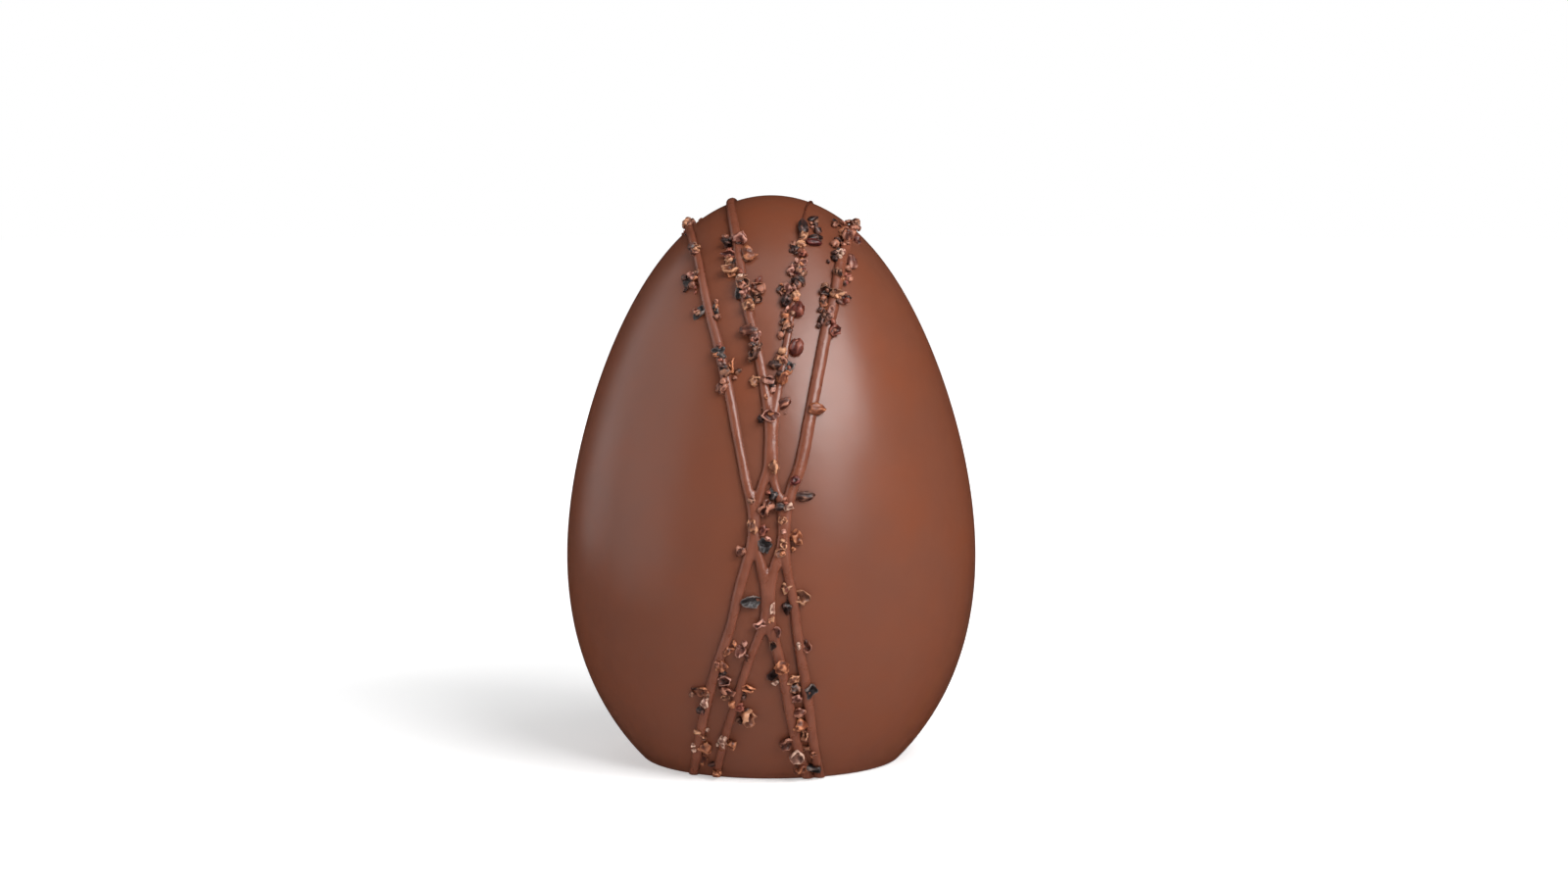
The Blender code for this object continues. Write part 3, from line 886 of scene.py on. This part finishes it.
def press_in(row, rng, turned_round):
    """One nib's points in metres, with its triangles, rims and tone colours."""
    side, height, kind, tone, length, width, direction = row
    points, faces, rim = make_shape(kind, length, rng)
    size = np.array([length, width, min(length, width) * DEPTHS[kind]]) * MM * NIB_GROWTH
    points = points * size
    spot = on_front(side * MM, height * MM)
    out = outward(spot)
    hit = line_tree.ray_cast(spot + out * REACH, -out, REACH)[0]
    ground = hit if hit is not None else spot
    across = Vector((-out.y, out.x, 0)).normalized()
    upward = out.cross(across).normalized()
    angle = math.radians(direction + rng.normal(0, 8))
    long_axis = across * math.cos(angle) + upward * math.sin(angle)
    wide_axis = out.cross(long_axis)
    turn = np.array([tuple(long_axis), tuple(wide_axis), tuple(out)]).T
    tilt_angle = math.radians(TILTS[kind]) * rng.uniform(-1, 1, 2)
    tilt = Matrix.Rotation(tilt_angle[0], 3, "X") @ Matrix.Rotation(tilt_angle[1], 3, "Y")
    points = points @ np.array(tilt).T @ turn.T
    rise = points @ np.array(out)
    sink = SUNK[kind] * (rise.max() - rise.min())
    points = points + np.array(ground) + np.array(out) * (-rise.min() - sink)
    too_far = max(0.0, (-points[:, 1]).max() - (cad_box[1].y - BOX_MARGIN))
    points[:, 1] += too_far
    points[:, 2] += max(0.0, FLOOR_GAP - points[:, 2].min())
    points[:, 2] -= max(0.0, points[:, 2].max() - (cad_box[1].z - BOX_MARGIN))
    if turned_round:
        points = points * np.array([-1, -1, 1])
    body, wear_and_highlight = TONES[tone]
    shade = rng.uniform(0.8, 1.2)
    return points, faces, rim, np.array(body) * shade, np.array(wear_and_highlight) * shade


def press_all(rows, seed, turned_round):
    pressed = {}
    for number, row in enumerate(rows):
        rng = np.random.default_rng([seed, number])
        if turned_round:
            shift = rng.normal(0, 0.7, 2)
            row = (row[0] + shift[0], max(row[1] + shift[1], 3), *row[2:])
        pressed.setdefault(row[2], []).append(press_in(row, rng, turned_round))
    return pressed


front_nibs = press_all(nib_rows, 11, False)
back_nibs = press_all(nib_rows, 47, True)
print("nibs by kind:", {kind: len(front_nibs[kind]) + len(back_nibs[kind]) for kind in front_nibs})

# %% [markdown]
# ## One piece for each kind
# Eight hundred loose objects would be slow and untidy, so all nibs of a kind become one mesh. What differs
# from nib to nib travels with the mesh as attributes: its body colour, its colour for wear and painted
# highlight, and whether each point lies in a hollow or on a rim, which sets the painted shade and highlight.
# The material reads them.

# %% Join nibs into pieces
def nib_piece(kind, nibs):
    name = "nibs_" + kind
    offset = 0
    all_points, all_faces, rims, bodies, wear_and_highlight_colours = [], [], [], [], []
    for points, faces, rim, body, wear_and_highlight in nibs:
        all_points.append(points)
        all_faces.append(faces + offset)
        rims.append(rim)
        bodies.append(np.tile([*body, 1], (len(points), 1)))
        wear_and_highlight_colours.append(np.tile([*wear_and_highlight, 1], (len(points), 1)))
        offset += len(points)
    mesh = bpy.data.meshes.new(name)
    mesh.from_pydata(np.concatenate(all_points).tolist(), [], np.concatenate(all_faces).tolist())
    for colours_name, colours in (("nib_body", bodies), ("nib_wear_and_highlight", wear_and_highlight_colours)):
        painted = mesh.attributes.new(colours_name, "FLOAT_COLOR", "POINT")
        painted.data.foreach_set("color", np.concatenate(colours).ravel())
    mesh.attributes.new("nib_shade_wear_highlight", "FLOAT", "POINT").data.foreach_set("value", np.concatenate(rims))
    mesh.shade_smooth()
    return add_object(name, mesh)


nib_pieces = [nib_piece(kind, front_nibs[kind] + back_nibs[kind]) for kind in front_nibs]
print("nib triangles:", {piece.name: len(piece.data.polygons) for piece in nib_pieces})

# %% [markdown]
# ## Finishes
# Tempered milk chocolate is satin: a broad soft highlight, no mirror. Its colour drifts slightly, from the
# cooling of the mould, over a few centimetres. A plain brown would look like plastic, so noise at three
# scales moves the colour, the gloss and the relief.

# %% Small helpers for node materials
def new_finish(name):
    """A node material, its shader, and object coordinates to paint by."""
    material = bpy.data.materials.new(name)
    material.use_nodes = True
    nodes = material.node_tree.nodes
    shader = nodes["Principled BSDF"]
    place = nodes.new("ShaderNodeTexCoord").outputs["Object"]
    return material, shader, place


def link(material, source, target):
    material.node_tree.links.new(source, target)


def cloud(material, place, size, detail=3.0, rough=0.55):
    """Noise whose lumps are about this size, in metres."""
    node = material.node_tree.nodes.new("ShaderNodeTexNoise")
    node.inputs["Scale"].default_value = 1 / size
    node.inputs["Detail"].default_value = detail
    node.inputs["Roughness"].default_value = rough
    link(material, place, node.inputs["Vector"])
    return node.outputs["Fac"]


def remap(material, value, low, high, to_low=0.0, to_high=1.0):
    node = material.node_tree.nodes.new("ShaderNodeMapRange")
    node.inputs["From Min"].default_value = low
    node.inputs["From Max"].default_value = high
    node.inputs["To Min"].default_value = to_low
    node.inputs["To Max"].default_value = to_high
    link(material, value, node.inputs["Value"])
    return node.outputs["Result"]


def blend_colours(material, share, first, second, blend="MIX"):
    """Colours or colour outputs mixed by a share."""
    node = material.node_tree.nodes.new("ShaderNodeMix")
    node.data_type = "RGBA"
    node.blend_type = blend
    for socket, value in ((node.inputs[6], first), (node.inputs[7], second)):
        if isinstance(value, tuple):
            socket.default_value = (*value, 1)
        else:
            link(material, value, socket)
    if isinstance(share, float):
        node.inputs[0].default_value = share
    else:
        link(material, share, node.inputs[0])
    return node.outputs[2]


def attribute(material, name):
    """A value or colour that the mesh carries on its points."""
    node = material.node_tree.nodes.new("ShaderNodeAttribute")
    node.attribute_name = name
    return node


def bump(material, shader, height, depth, base=None):
    """Relief of this depth in metres from a 0 to 1 height."""
    node = material.node_tree.nodes.new("ShaderNodeBump")
    node.inputs["Distance"].default_value = depth
    link(material, height, node.inputs["Height"])
    if base is not None:
        link(material, base, node.inputs["Normal"])
    link(material, node.outputs["Normal"], shader.inputs["Normal"])
    return node.outputs["Normal"]


print("finish helpers ready")

# %% Milk chocolate
def make_milk_chocolate():
    material, shader, place = new_finish("milk_chocolate")
    drift = remap(material, cloud(material, place, 38 * MM, 3), 0.35, 0.65)
    colour = blend_colours(material, drift, (0.149, 0.048, 0.0265), (0.175, 0.048, 0.0215))
    mottle = remap(material, cloud(material, place, 9 * MM, 4), 0.35, 0.75, 0.0, 0.5)
    colour = blend_colours(material, mottle, colour, (0.155, 0.051, 0.0275))
    link(material, colour, shader.inputs["Base Color"])
    gloss = remap(material, cloud(material, place, 22 * MM, 4), 0.3, 0.7, 0.30, 0.37)
    link(material, gloss, shader.inputs["Roughness"])
    fine = bump(material, shader, cloud(material, place, 1.2 * MM, 3), 0.012 * MM)
    bump(material, shader, cloud(material, place, 14 * MM, 2), 0.12 * MM, fine)
    shader.inputs["IOR"].default_value = 1.45
    return material


milk_chocolate = make_milk_chocolate()
egg.data.materials.append(milk_chocolate)
print(milk_chocolate.name, "made")

# %% [markdown]
# The piped lines are the same chocolate, set in open air from a bag: glossier than the egg, with small dents.
# Where each line meets the egg its colour is darkened as painted shade, by how high a point lies above the
# egg, which the mesh carries; real shade there would need very fine creases in the mesh.

# %% Piped chocolate
def make_piped_chocolate():
    material, shader, place = new_finish("piped_chocolate")
    patches = remap(material, cloud(material, place, 6 * MM, 4), 0.35, 0.65)
    colour = blend_colours(material, patches, (0.155, 0.046, 0.025), (0.190, 0.060, 0.034))
    # painted shade: the colour goes dark near the contact line with the egg, where shade falls
    out_of_contact_shade = remap(material, attribute(material, "line_rise").outputs["Fac"], 0.15, 0.95)
    colour = blend_colours(material, out_of_contact_shade, (0.062, 0.015, 0.008), colour)
    link(material, colour, shader.inputs["Base Color"])
    gloss = remap(material, cloud(material, place, 4 * MM, 4), 0.3, 0.7, 0.25, 0.35)
    link(material, gloss, shader.inputs["Roughness"])
    fine = bump(material, shader, cloud(material, place, 0.7 * MM, 3), 0.02 * MM)
    bump(material, shader, cloud(material, place, 3.0 * MM, 3), 0.25 * MM, fine)
    shader.inputs["IOR"].default_value = 1.45
    return material


piped_chocolate = make_piped_chocolate()
branches.data.materials.clear()
branches.data.materials.append(piped_chocolate)
print(piped_chocolate.name, "made")

# %% [markdown]
# Every nib has its own colours, so one material reads them from the mesh. Hollows are painted dark as shade,
# ridges go pale, partly as wear, as on anything broken by rubbing, and partly as a painted highlight, and a
# fine speckle keeps a face from looking like plastic.

# %% Cocoa nibs
def make_cocoa_nibs():
    material, shader, place = new_finish("cocoa_nibs")
    body = attribute(material, "nib_body").outputs["Color"]
    wear_and_highlight = attribute(material, "nib_wear_and_highlight").outputs["Color"]
    rim = attribute(material, "nib_shade_wear_highlight").outputs["Fac"]
    # painted shade: the body colour darkened for the hollows
    deep = blend_colours(material, 1.0, body, (0.34, 0.24, 0.22), "MULTIPLY")
    out_of_hollow_shade = remap(material, rim, 0.12, 0.48)
    speck = remap(material, cloud(material, place, 0.8 * MM, 4, 0.65), 0.36, 0.60, 0.45, 1.0)
    share = material.node_tree.nodes.new("ShaderNodeMath")
    share.operation = "MULTIPLY"
    link(material, out_of_hollow_shade, share.inputs[0])
    link(material, speck, share.inputs[1])
    colour = blend_colours(material, share.outputs[0], deep, body)
    # the pale colour on rims and ridges: partly wear, partly painted highlight
    colour = blend_colours(material, remap(material, rim, 0.50, 0.88), colour, wear_and_highlight)
    link(material, colour, shader.inputs["Base Color"])
    gloss = remap(material, cloud(material, place, 1.1 * MM, 3), 0.3, 0.7, 0.30, 0.55)
    link(material, gloss, shader.inputs["Roughness"])
    fine = bump(material, shader, cloud(material, place, 0.35 * MM, 4), 0.05 * MM)
    bump(material, shader, cloud(material, place, 1.2 * MM, 3), 0.16 * MM, fine)
    shader.inputs["IOR"].default_value = 1.45
    return material


cocoa_nibs = make_cocoa_nibs()
for piece in nib_pieces:
    piece.data.materials.append(cocoa_nibs)
print(cocoa_nibs.name, "made")

# %% [markdown]
# ## Ride on the frame's body
# Each piece rides on the one body of the frame, and the CAD's egg and branches are hidden in their place.
# The nibs stand for no CAD node: they are too small for one.

# %% Ride and replace
finishes = [(egg, "milk_chocolate"), (branches, "piped_chocolate")]
finishes += [(piece, "cocoa_nibs") for piece in nib_pieces]
for piece, finish in finishes:
    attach(piece, "root")
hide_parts("egg")
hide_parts("branches")

# %% [markdown]
# ## Floor, light and camera
# The floor is plain and pale, and glows a little towards its far edge so that it meets the white background
# without a line. It could be a curved backdrop, but then it would show in the chocolate as a hard band.

# %% A pale floor
FLOOR_RADIUS = 6.0
GLOW_NEAR = (0.08, 0.44)    # distance in metres from the egg's axis, and the floor's glow there
GLOW_FAR = (0.90, 1.00)


def make_floor():
    shell = bmesh.new()
    bmesh.ops.create_circle(shell, cap_ends=True, segments=96, radius=FLOOR_RADIUS)
    mesh = bpy.data.meshes.new("floor")
    shell.to_mesh(mesh)
    shell.free()
    floor = add_object("floor", mesh)
    material, shader, place = new_finish("pale_floor")
    shader.inputs["Roughness"].default_value = 0.9
    tone = blend_colours(material, cloud(material, place, 0.5, 2), (0.80, 0.80, 0.80), (0.82, 0.82, 0.82))
    link(material, tone, shader.inputs["Base Color"])
    far = material.node_tree.nodes.new("ShaderNodeVectorMath")
    far.operation = "LENGTH"
    link(material, place, far.inputs[0])
    glow = remap(material, far.outputs["Value"], GLOW_NEAR[0], GLOW_FAR[0], GLOW_NEAR[1], GLOW_FAR[1])
    shader.inputs["Emission Color"].default_value = (1, 1, 1, 1)
    link(material, glow, shader.inputs["Emission Strength"])
    mesh.materials.append(material)
    floor.visible_glossy = False
    return floor


floor = make_floor()
print("floor radius", FLOOR_RADIUS, "m")

# %% [markdown]
# ## Softboxes
# A glossy egg shows its lamps, so the lamps are shaped for the reflections they leave. The key softbox up on
# the right gives the tall soft highlight, and its tail fades that highlight out downwards. The white cards on
# the left and behind give the paler flanks. Each is placed by two angles round the egg, which is easier to
# think about than coordinates. The card straight behind lights the back but leaves no reflection, because it
# would draw a bright rim along the crown.

# %% Softboxes and fill
LIGHT_DISTANCE = 1.5
EGG_CENTRE = Vector((0, 0, 0.09))


def softbox(name, round_from_front, above, wide, tall, radiance):
    """A rectangular light that faces the egg, placed and sized by angles; radiance 1 looks white."""
    angle, rise = math.radians(round_from_front), math.radians(above)
    back = Vector((math.sin(angle) * math.cos(rise), -math.cos(angle) * math.cos(rise), math.sin(rise)))
    up = Vector((-math.sin(angle) * math.sin(rise), math.cos(angle) * math.sin(rise), math.cos(rise)))
    light = bpy.data.lights.new(name, "AREA")
    light.shape = "RECTANGLE"
    light.size = 2 * LIGHT_DISTANCE * math.tan(math.radians(tall) / 2)
    light.size_y = 2 * LIGHT_DISTANCE * math.tan(math.radians(wide) / 2)
    light.energy = radiance * math.pi * light.size * light.size_y
    lamp = add_object(name, light)
    turn = Matrix((up, back.cross(up), back)).transposed().to_4x4()
    turn.translation = EGG_CENTRE + back * LIGHT_DISTANCE
    lamp.matrix_world = turn
    return lamp


SOFTBOXES = [
    ("key", 40, 36.5, 40, 24, 11.0),
    ("key_tail", 36, 16, 16, 16, 4.0),
    ("top_right", 60, 62, 24, 20, 3.0),
    ("top_front", 345, 64, 36, 24, 1.6),
    ("left_card", 285, 16, 40, 52, 1.12),
    ("back_left_card", 246, 18, 30, 46, 1.1),
    ("back_card", 180, 30, 50, 40, 0.7),
]
lamps = [softbox(*row) for row in SOFTBOXES]
lamps[-1].visible_glossy = False
world = bpy.data.worlds.new("studio")
bpy.context.scene.world = world
world.use_nodes = True
world.node_tree.nodes["Background"].inputs["Color"].default_value = (1, 1, 1, 1)
world.node_tree.nodes["Background"].inputs["Strength"].default_value = 1.0
world.cycles_visibility.glossy = False
world.cycles_visibility.diffuse = False
print("lights in W:", [round(lamp.data.energy, 1) for lamp in lamps])

# %% [markdown]
# ## Camera
# The camera stands a metre in front of the egg, a little above its crown, and looks slightly down. A long
# lens from there keeps the egg's outline as calm as it looks on a table.

# %% Camera
CAMERA_PLACE = (0, -1.01, 0.1949)
LOOK_DOWN = math.radians(5.282)
LOOK_RIGHT = math.atan2(13, 3235)
LENS = 72.79                # millimetres
SENSOR_WIDTH = 36
camera_data = bpy.data.cameras.new("camera")
camera_data.lens = LENS
camera_data.sensor_width = SENSOR_WIDTH
camera = add_object("camera", camera_data)
camera.location = CAMERA_PLACE
camera.rotation_euler = (math.pi / 2 - LOOK_DOWN, 0, -LOOK_RIGHT)
bpy.context.scene.camera = camera
bpy.context.scene.view_settings.view_transform = "Standard"
print("camera", CAMERA_PLACE)

# %% [markdown]
# ## Finish
# At the end the view layer is brought up to date. The finished model has to stay inside the CAD's
# box.

# %% Finish
bpy.context.view_layer.update()
